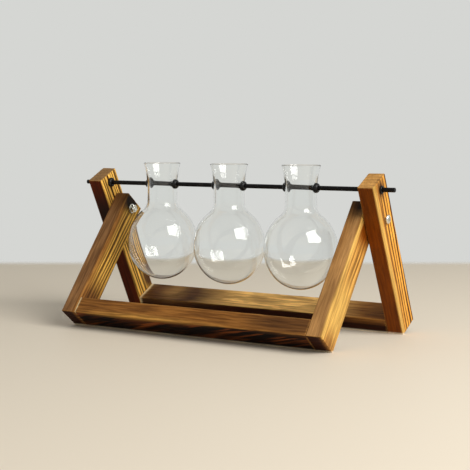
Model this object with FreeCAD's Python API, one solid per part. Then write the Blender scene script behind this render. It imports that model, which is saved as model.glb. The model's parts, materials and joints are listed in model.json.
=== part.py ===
"""Propagation vase: three round glass flasks that swing on one rod, carried by a folding stand of scorched pine.

The stand is two U-shaped timber frames, the front one nested inside the rear one and hinged to it by two bolts.
X runs along the rod, +Y points to the back and +Z points up. Lengths are in millimetres and angles in degrees.
The origin is on the table, midway along the stand and midway between its foremost and rearmost corners.
"""
import FreeCAD, Part
import math
import os

from FreeCAD import Rotation, Vector

# Timber stock
frame_width = 300.0
leg_thickness = 15.0
stock_depth = 26.0
edge_round = 0.9
standing_trim = 0.8

# Rear frame, measured along its leaning legs
rear_leg_length = 149.5
rear_rail_height = 15.4
rod_below_top = 8.6
pivot_below_rod = 28.8

# Front frame, measured the same way, and how it stands: both leans follow from the spacing of the feet
front_pivot_height = 126.0
front_leg_above_pivot = 9.2
front_rail_height = 16.0
frame_gap = 0.6
foot_spacing = 108.12

# Dowels glued into the ends of the rails
dowel_diameter = 6.0
dowel_length = 22.0
dowel_pitch = 13.0
dowel_clearance = 0.05
dowel_end_gap = 0.5
dowel_end_chamfer = 0.6

# Hinge bolts, M4 by 35, with their washers and nuts
bolt_diameter = 4.0
bolt_past_nut = 0.4
bolt_hole_clearance = 0.08
bolt_tip_chamfer = 0.4
head_diameter = 8.0
head_height = 2.9
head_side_height = 1.3
recess_length = 4.4
recess_width = 0.95
recess_depth = 1.6
washer_diameter = 9.0
washer_thickness = 0.8
nut_across_flats = 7.0
nut_thickness = 3.2
nut_chamfer = 0.5
thread_clearance = 0.05

# Rod and the rubber stops that keep it in the legs
rod_diameter = 4.0
rod_overhang = 13.0
rod_end_chamfer = 0.3
rod_hole_clearance = 0.06
rubber_clearance = 0.04
stop_gap = 0.3
stop_diameter = 9.0
stop_length = 2.8
stop_rim = 1.1
ring_section = 1.5

# Flasks, with heights measured from the rod's axis; three of them fill the front frame but for these gaps
flask_gap = 8.0
flask_leg_gap = 12.4
neck_wall = 1.8
bulb_wall = 1.1
bulb_drop = 57.0
neck_radius = 14.1
shoulder_radius = 10.0
flare_drop = 4.0
rim_rise = 18.6
rim_radius = 17.2

# Rubber grommets that line the holes in the flask necks
glass_hole_diameter = 6.8
grommet_seat_clearance = 0.05
grommet_diameter = 8.9
grommet_outer_length = 3.3
grommet_outer_rim = 1.0
grommet_inner_length = 2.6
grommet_inner_rim = 1.5
grommet_hub_wall = 0.9

# A cut or a tool body runs this far past the faces that it goes through
overrun = 5.0

X_AXIS = Vector(1, 0, 0)
Z_AXIS = Vector(0, 0, 1)
ORIGIN = Vector(0, 0, 0)

# Across the stand, from the middle outwards
half_width = frame_width / 2
rear_inner_x = half_width - leg_thickness
front_outer_x = rear_inner_x - frame_gap
front_inner_x = front_outer_x - leg_thickness
bulb_radius = (front_inner_x - flask_leg_gap - flask_gap) / 3
flask_pitch = 2 * bulb_radius + flask_gap
rod_radius = rod_diameter / 2
rod_length = frame_width + 2 * rod_overhang
bolt_length = half_width - front_inner_x + washer_thickness + nut_thickness + bolt_past_nut

# Along the legs, from the foot
half_depth = stock_depth / 2
rod_height = rear_leg_length - rod_below_top
rear_pivot_height = rod_height - pivot_below_rod
front_leg_length = front_pivot_height + front_leg_above_pivot


def turned(point_y, point_z, tilt):
    """A point in a frame's own upright plane, after the frame tilts about the X axis."""
    angle = math.radians(tilt)
    return (point_y * math.cos(angle) - point_z * math.sin(angle),
            point_y * math.sin(angle) + point_z * math.cos(angle))


# The rear frame stands on its front bottom edge and the front frame on its back bottom edge. These two edges
# and the pivot make a triangle whose sides are known.
rear_reach = math.hypot(half_depth, rear_pivot_height)
front_reach = math.hypot(half_depth, front_pivot_height)
pivot_advance = (front_reach ** 2 - rear_reach ** 2 + foot_spacing ** 2) / (2 * foot_spacing)
pivot_rise = math.sqrt(front_reach ** 2 - pivot_advance ** 2)
rear_tilt = math.degrees(math.atan2(pivot_rise, pivot_advance - foot_spacing)
                         - math.atan2(rear_pivot_height, half_depth))
front_tilt = math.degrees(math.atan2(pivot_rise, pivot_advance) - math.atan2(front_pivot_height, -half_depth))
rear_corner = turned(stock_depth, 0, rear_tilt)[0]
front_corner = turned(-stock_depth, 0, front_tilt)[0]
rear_edge_y = (foot_spacing - rear_corner - front_corner) / 2
front_edge_y = rear_edge_y - foot_spacing
pivot = Vector(0, front_edge_y + pivot_advance, pivot_rise - standing_trim)
rod_from_rear_edge = turned(half_depth, rod_height, rear_tilt)
rod_axis = Vector(0, rear_edge_y + rod_from_rear_edge[0], rod_from_rear_edge[1] - standing_trim)


def box_between(low, high):
    """A box from its lowest to its highest corner."""
    return Part.makeBox(high.x - low.x, high.y - low.y, high.z - low.z, low)


def timber(low, high, grain):
    """A straight bar whose long edges, which run along the grain, are eased by hand."""
    bar = box_between(low, high)
    parallel_share = 0.99
    long_edges = [edge for edge in bar.Edges
                  if abs(edge.tangentAt(edge.FirstParameter).dot(grain)) > parallel_share]
    return bar.makeFillet(edge_round, long_edges)


def cylinder_x(radius, start, stop, y=0.0, z=0.0):
    """A cylinder along X from start to stop."""
    return Part.makeCylinder(radius, stop - start, Vector(start, y, z), X_AXIS)


def lathe(points_and_arcs, axis):
    """Revolves a closed outline of edges about an axis through the origin."""
    return Part.Face(Part.Wire(points_and_arcs)).revolve(ORIGIN, axis, 360)


def placed(shape, tilt, edge_y, edge_local_y):
    """Tilts a frame's piece about its standing edge, sets it on the table and planes the edge flat."""
    piece = shape.translated(Vector(0, -edge_local_y, 0))
    piece = piece.rotated(ORIGIN, X_AXIS, tilt).translated(Vector(0, edge_y, -standing_trim))
    below = box_between(Vector(-half_width - overrun, edge_y - stock_depth - overrun, -stock_depth),
                        Vector(half_width + overrun, edge_y + stock_depth + overrun, 0))
    return piece.cut(below) if piece.BoundBox.ZMin < 0 else piece


def in_rear_frame(shape):
    """A piece of the rear frame, from its upright place to its leaning one."""
    return placed(shape, rear_tilt, rear_edge_y, 0)


def in_front_frame(shape):
    """A piece of the front frame, from its upright place to its leaning one."""
    return placed(shape, front_tilt, front_edge_y, stock_depth)


def mirrored(shape):
    """The same piece on the left side."""
    return shape.mirror(ORIGIN, X_AXIS)


def dowel_places(rail_height):
    """The Y and Z of the dowels in a rail's end, in the upright frame."""
    return [(half_depth + side * dowel_pitch / 2, rail_height / 2) for side in (-1, 1)]


def dowel_holes(joint_x, rail_height):
    """The drilled holes on both sides of a joint face, a little longer than the dowel."""
    reach = dowel_length / 2 + dowel_end_gap
    radius = dowel_diameter / 2 + dowel_clearance
    return [cylinder_x(radius, joint_x - reach, joint_x + reach, y, z) for y, z in dowel_places(rail_height)]


def dowel(joint_x, y, z):
    """One dowel, chamfered at both ends, half in the leg and half in the rail."""
    peg = cylinder_x(dowel_diameter / 2, joint_x - dowel_length / 2, joint_x + dowel_length / 2, y, z)
    rims = [edge for edge in peg.Edges if edge.Closed]
    return peg.makeChamfer(dowel_end_chamfer, rims)


def dowel_set(joint_x, rail_height, place):
    """The four dowels of one rail as a group of separate solids."""
    pegs = [dowel(side * joint_x, y, z) for side in (-1, 1) for y, z in dowel_places(rail_height)]
    return Part.makeCompound([place(peg) for peg in pegs])


def rear_leg():
    """The right rear leg: square ends, the rod's hole near the top and the hinge bolt's below it."""
    leg = timber(Vector(rear_inner_x, 0, 0), Vector(half_width, stock_depth, rear_leg_length), Z_AXIS)
    start, stop = rear_inner_x - overrun, half_width + overrun
    holes = dowel_holes(rear_inner_x, rear_rail_height)
    holes.append(cylinder_x(rod_radius + rod_hole_clearance, start, stop, half_depth, rod_height))
    holes.append(cylinder_x(bolt_diameter / 2 + bolt_hole_clearance, start, stop, half_depth, rear_pivot_height))
    return leg.cut(holes)


def front_leg():
    """The right front leg, which hangs just inside the rear one on the hinge bolt."""
    leg = timber(Vector(front_inner_x, 0, 0), Vector(front_outer_x, stock_depth, front_leg_length), Z_AXIS)
    start, stop = front_inner_x - overrun, front_outer_x + overrun
    holes = dowel_holes(front_inner_x, front_rail_height)
    holes.append(cylinder_x(bolt_diameter / 2 + bolt_hole_clearance, start, stop, half_depth, front_pivot_height))
    return leg.cut(holes)


def rail(joint_x, height):
    """A rail that butts between two legs, flush with their faces and feet."""
    bar = timber(Vector(-joint_x, 0, 0), Vector(joint_x, stock_depth, height), X_AXIS)
    return bar.cut(dowel_holes(joint_x, height) + dowel_holes(-joint_x, height))


def at_pivot(shape):
    """A piece of hinge hardware, from the X axis to the hinge's axis."""
    return shape.translated(pivot)


def hinge_bolt():
    """A pan head machine screw whose head bears on the rear leg's outer face."""
    shank_end = half_width - bolt_length
    head_base = head_diameter / 2
    crown_share = 0.62
    side_top = Vector(half_width + head_side_height, 0, head_base)
    crown_middle = Vector(half_width + head_side_height + (head_height - head_side_height) * crown_share,
                          0, head_base * crown_share)
    crown = Vector(half_width + head_height, 0, 0)
    corners = [crown, Vector(shank_end, 0, 0), Vector(shank_end, 0, bolt_diameter / 2 - bolt_tip_chamfer),
               Vector(shank_end + bolt_tip_chamfer, 0, bolt_diameter / 2),
               Vector(half_width, 0, bolt_diameter / 2), Vector(half_width, 0, head_base), side_top]
    edges = Part.makePolygon(corners).Edges + [Part.Arc(side_top, crown_middle, crown).toShape()]
    bolt = lathe(edges, X_AXIS)
    slot_low = Vector(half_width + head_height - recess_depth, -recess_length / 2, -recess_width / 2)
    slot_high = Vector(half_width + head_height + overrun, recess_length / 2, recess_width / 2)
    slot = box_between(slot_low, slot_high)
    return bolt.cut([slot, slot.rotated(ORIGIN, X_AXIS, 90)])


def ring_x(start, stop, outer_radius, inner_radius):
    """A flat ring about the X axis."""
    return cylinder_x(outer_radius, start, stop).cut(cylinder_x(inner_radius, start - overrun, stop + overrun))


def hinge_washer():
    """The washer between the front leg's inner face and the nut."""
    return ring_x(front_inner_x - washer_thickness, front_inner_x, washer_diameter / 2,
                  bolt_diameter / 2 + thread_clearance)


def hinge_nut():
    """A hexagon nut with chamfered corners, screwed up to the washer."""
    stop = front_inner_x - washer_thickness
    start = stop - nut_thickness
    corner_radius = nut_across_flats / math.sqrt(3)
    corners = [Vector(start, corner_radius * math.cos(math.radians(60 * k)),
                      corner_radius * math.sin(math.radians(60 * k))) for k in range(6)]
    prism = Part.Face(Part.makePolygon(corners + corners[:1])).extrude(X_AXIS * nut_thickness)
    blank = cylinder_x(corner_radius, start, stop)
    rims = [edge for edge in blank.Edges if edge.Closed]
    bore = cylinder_x(bolt_diameter / 2 + thread_clearance, start - overrun, stop + overrun)
    return prism.common(blank.makeChamfer(nut_chamfer, rims)).cut(bore)


def at_rod(shape, x=0.0):
    """A piece on the rod, from the X axis to the rod's axis."""
    return shape.translated(rod_axis + X_AXIS * x)


def rod():
    """The plain round rod with its ends chamfered."""
    bar = cylinder_x(rod_radius, -rod_length / 2, rod_length / 2)
    rims = [edge for edge in bar.Edges if edge.Closed]
    return bar.makeChamfer(rod_end_chamfer, rims)


def domed_disc(length, rim, radius):
    """A rubber flange about X: flat at x = 0, straight over its rim, then domed down to its hub."""
    hub = rod_radius + grommet_hub_wall
    shoulder = Vector(rim, 0, radius)
    tip = Vector(length, 0, hub)
    along_share, across_share = 0.56, 0.72
    middle = Vector(rim + (length - rim) * along_share, 0, hub + (radius - hub) * across_share)
    corners = [tip, Vector(length, 0, 0), ORIGIN, Vector(0, 0, radius), shoulder]
    return lathe(Part.makePolygon(corners).Edges + [Part.Arc(shoulder, middle, tip).toShape()], X_AXIS)


def rubber_bore():
    """The hole in every rubber piece, a light push fit on the rod."""
    return cylinder_x(rod_radius + rubber_clearance, -rod_length, rod_length)


def inner_stop():
    """The domed rubber stop on the rod at the left leg's inner face."""
    return domed_disc(stop_length, stop_rim, stop_diameter / 2).cut(rubber_bore())


def end_ring():
    """A rubber ring on the rod, outside a leg, from x = 0 outwards."""
    section = ring_section / 2
    inner = rod_radius + rubber_clearance
    return Part.makeTorus(inner + section, section, Vector(section, 0, 0), X_AXIS)


def flask_shell(grow=0.0):
    """The blown glass wall about the Z axis, with z = 0 at the rod. grow thickens it on both sides."""
    bulb_centre = Vector(0, 0, -bulb_drop)
    flare_rise = rim_rise + flare_drop
    flare_radius = (flare_rise ** 2 + (rim_radius - neck_radius) ** 2) / (2 * (rim_radius - neck_radius))
    flare_centre = Vector(neck_radius + flare_radius, 0, -flare_drop)
    flare_angle = math.asin(flare_rise / flare_radius)

    def on_circle(centre, radius, angle):
        return centre + Vector(math.cos(angle), 0, math.sin(angle)) * radius

    def side(neck_inset, bulb_inset):
        """The tangent arcs of one face of the glass, from the bottom to the rim."""
        bulb = bulb_radius - bulb_inset
        neck = neck_radius - neck_inset
        flare = flare_radius + neck_inset
        shoulder = shoulder_radius + (neck_inset + bulb_inset) / 2
        shoulder_x = neck + shoulder
        shoulder_rise = math.sqrt((bulb + shoulder) ** 2 - shoulder_x ** 2)
        shoulder_angle = math.atan2(shoulder_rise, shoulder_x)
        shoulder_centre = bulb_centre + Vector(shoulder_x, 0, shoulder_rise)
        neck_low = Vector(neck, 0, shoulder_centre.z)
        neck_high = Vector(neck, 0, -flare_drop)
        bottom = on_circle(bulb_centre, bulb, -math.pi / 2)
        meeting = on_circle(bulb_centre, bulb, shoulder_angle)
        lip = on_circle(flare_centre, flare, math.pi - flare_angle)
        bulb_side = on_circle(bulb_centre, bulb, (shoulder_angle - math.pi / 2) / 2)
        shoulder_side = on_circle(shoulder_centre, shoulder, math.pi + shoulder_angle / 2)
        flare_side = on_circle(flare_centre, flare, math.pi - flare_angle / 2)
        edges = [Part.Arc(bottom, bulb_side, meeting).toShape(),
                 Part.Arc(meeting, shoulder_side, neck_low).toShape(),
                 Part.LineSegment(neck_low, neck_high).toShape(),
                 Part.Arc(neck_high, flare_side, lip).toShape()]
        return edges, bottom, lip

    outer, outer_bottom, outer_lip = side(-grow, -grow)
    inner, inner_bottom, inner_lip = side(neck_wall + grow, bulb_wall + grow)
    lip_centre = (outer_lip + inner_lip) * 0.5
    up_the_flare = Vector(math.sin(flare_angle), 0, math.cos(flare_angle))
    lip_top = lip_centre + up_the_flare * ((outer_lip - inner_lip).Length / 2)
    lip = [Part.Arc(outer_lip, lip_top, inner_lip).toShape()]
    base = [Part.LineSegment(inner_bottom, outer_bottom).toShape()]
    return lathe(outer + lip + inner[::-1] + base, Z_AXIS)


def flask():
    """A flask with the two holes in its neck that the rod goes through."""
    return flask_shell().cut(cylinder_x(glass_hole_diameter / 2, -rim_radius - overrun, rim_radius + overrun))


def grommet():
    """The right grommet of a flask: flanges inside and outside the glass, hollowed to its curve, on one sleeve."""
    glass_inside = neck_radius - neck_wall
    radius = grommet_diameter / 2
    outer = domed_disc(grommet_outer_length, grommet_outer_rim, radius).translated(X_AXIS * neck_radius)
    inner = mirrored(domed_disc(grommet_inner_length, grommet_inner_rim, radius)).translated(X_AXIS * glass_inside)
    blank = outer.fuse([cylinder_x(radius, glass_inside, neck_radius), inner])
    sleeve_radius = glass_hole_diameter / 2 - grommet_seat_clearance
    sleeve = cylinder_x(sleeve_radius, glass_inside - grommet_inner_rim, neck_radius + grommet_outer_rim)
    flanges = blank.cut(flask_shell(grommet_seat_clearance))
    kept = [solid for solid in flanges.Solids if solid.BoundBox.XLength > grommet_seat_clearance]
    return sleeve.fuse(kept).removeSplitter().cut(rubber_bore())


def solids_of(shape):
    """A clean shape for export: its only solid, or a group where it has several."""
    return shape.Solids[0] if len(shape.Solids) == 1 else Part.makeCompound(shape.Solids)


def build():
    """Every piece by its name, in its place in the standing vase."""
    pieces = {}
    right_rear, right_front = rear_leg(), front_leg()
    pieces["rear_left_leg"] = in_rear_frame(mirrored(right_rear))
    pieces["rear_right_leg"] = in_rear_frame(right_rear)
    pieces["rear_rail"] = in_rear_frame(rail(rear_inner_x, rear_rail_height))
    pieces["rear_rail_dowels"] = dowel_set(rear_inner_x, rear_rail_height, in_rear_frame)
    pieces["front_left_leg"] = in_front_frame(mirrored(right_front))
    pieces["front_right_leg"] = in_front_frame(right_front)
    pieces["front_rail"] = in_front_frame(rail(front_inner_x, front_rail_height))
    pieces["front_rail_dowels"] = dowel_set(front_inner_x, front_rail_height, in_front_frame)
    for name, part in (("bolt", hinge_bolt()), ("washer", hinge_washer()), ("nut", hinge_nut())):
        pieces["left_hinge_" + name] = at_pivot(mirrored(part))
        pieces["right_hinge_" + name] = at_pivot(part)
    pieces["rod"] = at_rod(rod())
    pieces["left_rod_stop"] = at_rod(inner_stop(), -rear_inner_x + stop_gap)
    pieces["left_end_ring"] = at_rod(mirrored(end_ring()), -half_width - stop_gap)
    pieces["right_end_ring"] = at_rod(end_ring(), half_width + stop_gap)
    right_grommet = grommet()
    for side, name in ((-1, "left"), (0, "middle"), (1, "right")):
        flask_x = side * flask_pitch
        pieces[name + "_flask"] = at_rod(flask(), flask_x)
        pieces[name + "_flask_left_grommet"] = at_rod(mirrored(right_grommet), flask_x)
        pieces[name + "_flask_right_grommet"] = at_rod(right_grommet, flask_x)
    return pieces


os.makedirs("parts", exist_ok=True)
for node, shape in build().items():
    solids_of(shape).exportStep("parts/" + node + ".step")
print("hinge axis at y, z:", round(pivot.y, 3), round(pivot.z, 3))
print("rod axis at y, z:", round(rod_axis.y, 3), round(rod_axis.z, 3))
print("standing edges at y:", round(rear_edge_y, 3), round(front_edge_y, 3))
print("leans of the rear and front legs:", round(90 - rear_tilt, 3), round(90 + front_tilt, 3))
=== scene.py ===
"""Looks of a propagation vase: three blown flasks on one rod, carried by a folding stand of scorched pine.

Sizes in the classes are millimetres and angles are degrees. Blender's objects are in metres, in the frame of
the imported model: X along the rod, +Y to the back and +Z up.
"""

import json
import logging
import math
from dataclasses import dataclass, field
from enum import Enum
from functools import cached_property
from typing import ClassVar

import bmesh
import bpy
import numpy as np
from mathutils import Matrix, Quaternion, Vector


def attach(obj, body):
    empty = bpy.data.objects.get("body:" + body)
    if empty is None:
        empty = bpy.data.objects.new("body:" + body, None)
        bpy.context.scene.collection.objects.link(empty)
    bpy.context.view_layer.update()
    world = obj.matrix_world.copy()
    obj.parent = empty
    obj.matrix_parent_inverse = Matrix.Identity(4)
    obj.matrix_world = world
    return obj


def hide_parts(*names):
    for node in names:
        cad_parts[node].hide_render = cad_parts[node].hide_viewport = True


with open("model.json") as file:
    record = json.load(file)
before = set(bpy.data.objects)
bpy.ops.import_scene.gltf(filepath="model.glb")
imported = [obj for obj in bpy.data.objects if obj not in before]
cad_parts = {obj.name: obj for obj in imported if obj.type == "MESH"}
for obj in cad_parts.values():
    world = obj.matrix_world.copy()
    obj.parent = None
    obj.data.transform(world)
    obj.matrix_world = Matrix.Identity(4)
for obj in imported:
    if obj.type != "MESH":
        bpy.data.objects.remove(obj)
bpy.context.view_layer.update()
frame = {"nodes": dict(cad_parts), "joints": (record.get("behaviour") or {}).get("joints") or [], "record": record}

MM = 0.001
NO_FLATS = 1000.0
log = logging.getLogger("vase")

Colour = tuple[float, float, float]
Triple = tuple[float, float, float]
Band = tuple[float, float]
Profile = list[tuple[float, float]]
Socket = bpy.types.NodeSocket
NodeTree = bpy.types.NodeTree
Material = bpy.types.Material
Piece = bpy.types.Object
Feed = Socket | Material | float | tuple | Vector


def srgb(red: int, green: int, blue: int) -> Colour:
    """Turns a colour as a screen shows it into the linear values that a shader takes.

    Args:
        red: Red from 0 to 255.
        green: Green from 0 to 255.
        blue: Blue from 0 to 255.

    Returns:
        The three linear values.
    """
    def channel(value: int) -> float:
        """One channel by the sRGB curve."""
        share = value / 255
        return share / 12.92 if share <= 0.04045 else ((share + 0.055) / 1.055) ** 2.4
    return channel(red), channel(green), channel(blue)


class Graph:
    """Writes one node tree in few words, for a material or for Geometry Nodes."""

    def __init__(self, tree: NodeTree) -> None:
        """Keeps the tree that the nodes go into."""
        self.tree = tree

    def add(self, kind: str, **settings: object) -> bpy.types.Node:
        """Adds a node.

        Args:
            kind: The node's type name.
            settings: Its properties by name.

        Returns:
            The new node.
        """
        node = self.tree.nodes.new(kind)
        for name, value in settings.items():
            setattr(node, name, value)
        return node

    def feed(self, socket: Socket, value: Feed) -> None:
        """Links a socket to another one, or sets its own value.

        Args:
            socket: A node's input.
            value: Another node's output, or a plain value.
        """
        if isinstance(value, Socket):
            self.tree.links.new(value, socket)
        else:
            socket.default_value = value

    def call(self, kind: str, inputs: dict[int | str, Feed], output: int | str = 0,
             **settings: object) -> Socket:
        """Adds a node, feeds its inputs and gives back one output.

        Args:
            kind: The node's type name.
            inputs: Values or sockets by input name or number.
            output: The name or number of the output wanted.
            settings: The node's properties by name.

        Returns:
            The output socket.
        """
        node = self.add(kind, **settings)
        for name, value in inputs.items():
            self.feed(node.inputs[name], value)
        return node.outputs[output]

    def math(self, operation: str, first: Feed, second: Feed = 0.0, clamp: bool = False) -> Socket:
        """One step of arithmetic on numbers."""
        return self.call("ShaderNodeMath", {0: first, 1: second}, operation=operation, use_clamp=clamp)

    def times(self, first: Feed, second: Feed, clamp: bool = False) -> Socket:
        """One number times another."""
        return self.math("MULTIPLY", first, second, clamp)

    def vector(self, operation: str, first: Feed, second: Feed = (0.0, 0.0, 0.0)) -> Socket:
        """One step of arithmetic on vectors."""
        return self.call("ShaderNodeVectorMath", {0: first, 1: second}, operation=operation)

    def scaled(self, vector: Feed, factor: Feed) -> Socket:
        """A vector times a number."""
        return self.call("ShaderNodeVectorMath", {0: vector, "Scale": factor}, operation="SCALE")

    def parts(self, vector: Feed) -> tuple[Socket, ...]:
        """The three numbers of a vector."""
        return tuple(self.call("ShaderNodeSeparateXYZ", {0: vector}).node.outputs)

    def joined(self, first: Feed, second: Feed, third: Feed) -> Socket:
        """A vector from its three numbers."""
        return self.call("ShaderNodeCombineXYZ", {0: first, 1: second, 2: third})

    def fade(self, value: Feed, low: Feed, high: Feed, start: Feed = 0.0, end: Feed = 1.0) -> Socket:
        """Goes smoothly from start to end while value goes from low to high."""
        return self.call("ShaderNodeMapRange", {0: value, 1: low, 2: high, 3: start, 4: end},
                         interpolation_type="SMOOTHSTEP")

    def noise(self, place: Feed, scale: float = 1.0, detail: float = 2.0) -> Socket:
        """Smooth noise about one half."""
        return self.call("ShaderNodeTexNoise", {"Vector": place, "Scale": scale, "Detail": detail}, "Fac")

    def drawn_noise(self, place: Feed, scales: Triple, detail: float = 2.0) -> Socket:
        """Smooth noise that is drawn out, with a scale for each axis."""
        return self.noise(self.vector("MULTIPLY", place, scales), 1.0, detail)

    def blend(self, share: Feed, first: Feed, second: Feed, how: str = "MIX") -> Socket:
        """Mixes two colours."""
        return self.call("ShaderNodeMix", {0: share, 6: first, 7: second}, 2, data_type="RGBA",
                         blend_type=how)

    def two_tone(self, share: Feed, first: Colour, second: Colour) -> Socket:
        """Mixes two plain colours, the second where share is one."""
        return self.blend(share, (*first, 1), (*second, 1))

    def tinted(self, colour: Feed, share: Feed, tints: tuple[Colour, Colour]) -> Socket:
        """Multiplies a colour by the first tint, or by the second where share is one."""
        return self.blend(1.0, colour, self.two_tone(share, *tints), "MULTIPLY")

    def either(self, second_wins: Feed, first: Feed, second: Feed) -> Socket:
        """One of two vectors."""
        return self.call("ShaderNodeMix", {0: second_wins, 4: first, 5: second}, 1, data_type="VECTOR")


class Shapes:
    """Makes plain meshes for the object's pieces and lets Geometry Nodes shape them."""

    drill_segments: int = 48
    double_distance: float = 1e-7

    @staticmethod
    def mesh(name: str, points: list[Triple | Vector], faces: list[list[int]] | None = None) -> Piece:
        """Makes an object from points and faces.

        Args:
            name: The object's name.
            points: Its vertices, in metres.
            faces: Its faces as lists of vertex numbers, if it has any.

        Returns:
            The object, at the origin and in the scene.
        """
        data = bpy.data.meshes.new(name)
        data.from_pydata([tuple(point) for point in points], [], faces or [])
        piece = bpy.data.objects.new(name, data)
        bpy.context.scene.collection.objects.link(piece)
        return piece

    @staticmethod
    def seed(name: str) -> Piece:
        """An object of one point, for a mesh that is still to be made."""
        return Shapes.mesh(name, [(0, 0, 0)])

    @staticmethod
    def applied(piece: Piece) -> Piece:
        """Turns an object's modifiers into its own mesh.

        Args:
            piece: The object.

        Returns:
            The same object, without modifiers.
        """
        graph = bpy.context.evaluated_depsgraph_get()
        shaped = bpy.data.meshes.new_from_object(piece.evaluated_get(graph))
        piece.modifiers.clear()
        piece.data = shaped
        return piece

    @staticmethod
    def grown(piece: Piece, tree: NodeTree, values: dict[str, object]) -> Piece:
        """Shapes an object with a Geometry Nodes tree and applies it.

        Args:
            piece: The object that the tree starts from.
            tree: The tree.
            values: The tree's inputs by name.

        Returns:
            The same object with its new mesh.
        """
        modifier = piece.modifiers.new(tree.name, "NODES")
        modifier.node_group = tree
        sockets = {item.name: item.identifier for item in tree.interface.items_tree if item.in_out == "INPUT"}
        for name, value in values.items():
            modifier[sockets[name]] = value
        return Shapes.applied(piece)

    @staticmethod
    def cut(piece: Piece, tools: list[Piece]) -> Piece:
        """Cuts an object with others, which are used up.

        Args:
            piece: The object to cut.
            tools: What to cut away from it.

        Returns:
            The same object with its new mesh.
        """
        for tool in tools:
            modifier = piece.modifiers.new("cut", "BOOLEAN")
            modifier.operation = "DIFFERENCE"
            modifier.solver = "EXACT"
            modifier.object = tool
        Shapes.applied(piece)
        for tool in tools:
            bpy.data.objects.remove(tool)
        return piece

    @staticmethod
    def drill(name: str, place: Matrix, radius: float, length: float) -> Piece:
        """A round tool about the X axis, to cut a hole with.

        Args:
            name: Its name.
            place: From millimetres about the hole's middle to metres in the standing vase.
            radius: The hole's radius in millimetres.
            length: How far it reaches, from end to end.

        Returns:
            The tool.
        """
        work = bmesh.new()
        bmesh.ops.create_cone(work, cap_ends=True, segments=Shapes.drill_segments, radius1=radius,
                              radius2=radius, depth=length)
        work.transform(place @ Matrix.Rotation(math.radians(90), 4, "Y"))
        tool = Shapes.seed(name)
        work.to_mesh(tool.data)
        work.free()
        return tool

    @staticmethod
    def joined(piece: Piece, other: Piece) -> Piece:
        """Adds another object's mesh to a piece and removes that object.

        Args:
            piece: The piece that grows.
            other: The object that goes into it.

        Returns:
            The piece.
        """
        work = bmesh.new()
        work.from_mesh(piece.data)
        work.from_mesh(other.data)
        work.to_mesh(piece.data)
        work.free()
        bpy.data.objects.remove(other)
        return piece

    @staticmethod
    def outward(piece: Piece, crease: float | None = None) -> Piece:
        """Merges doubles, points faces outwards and shades the piece smooth.

        Args:
            piece: The piece.
            crease: The angle in degrees past which an edge is shaded sharp, or None for no sharp edge.

        Returns:
            The piece.
        """
        work = bmesh.new()
        work.from_mesh(piece.data)
        bmesh.ops.remove_doubles(work, verts=work.verts, dist=Shapes.double_distance)
        bmesh.ops.recalc_face_normals(work, faces=work.faces)
        work.to_mesh(piece.data)
        work.free()
        piece.data.polygons.foreach_set("use_smooth", [True] * len(piece.data.polygons))
        if crease is not None:
            piece.data.set_sharp_from_angle(angle=math.radians(crease))
        piece.data.update()
        return piece

    @staticmethod
    def finished(piece: Piece, material: Material, slot: str, body: str, node: str) -> Piece:
        """Dresses a piece, hangs it on its body and hides the CAD node that it takes the place of.

        Args:
            piece: The piece.
            material: Its material.
            slot: Its material slot in the record; not used.
            body: The body that it moves with.
            node: The CAD node that it takes the place of.

        Returns:
            The piece.
        """
        piece.data.materials.clear()
        piece.data.materials.append(material)
        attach(piece, body)
        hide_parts(node)
        return piece


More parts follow.
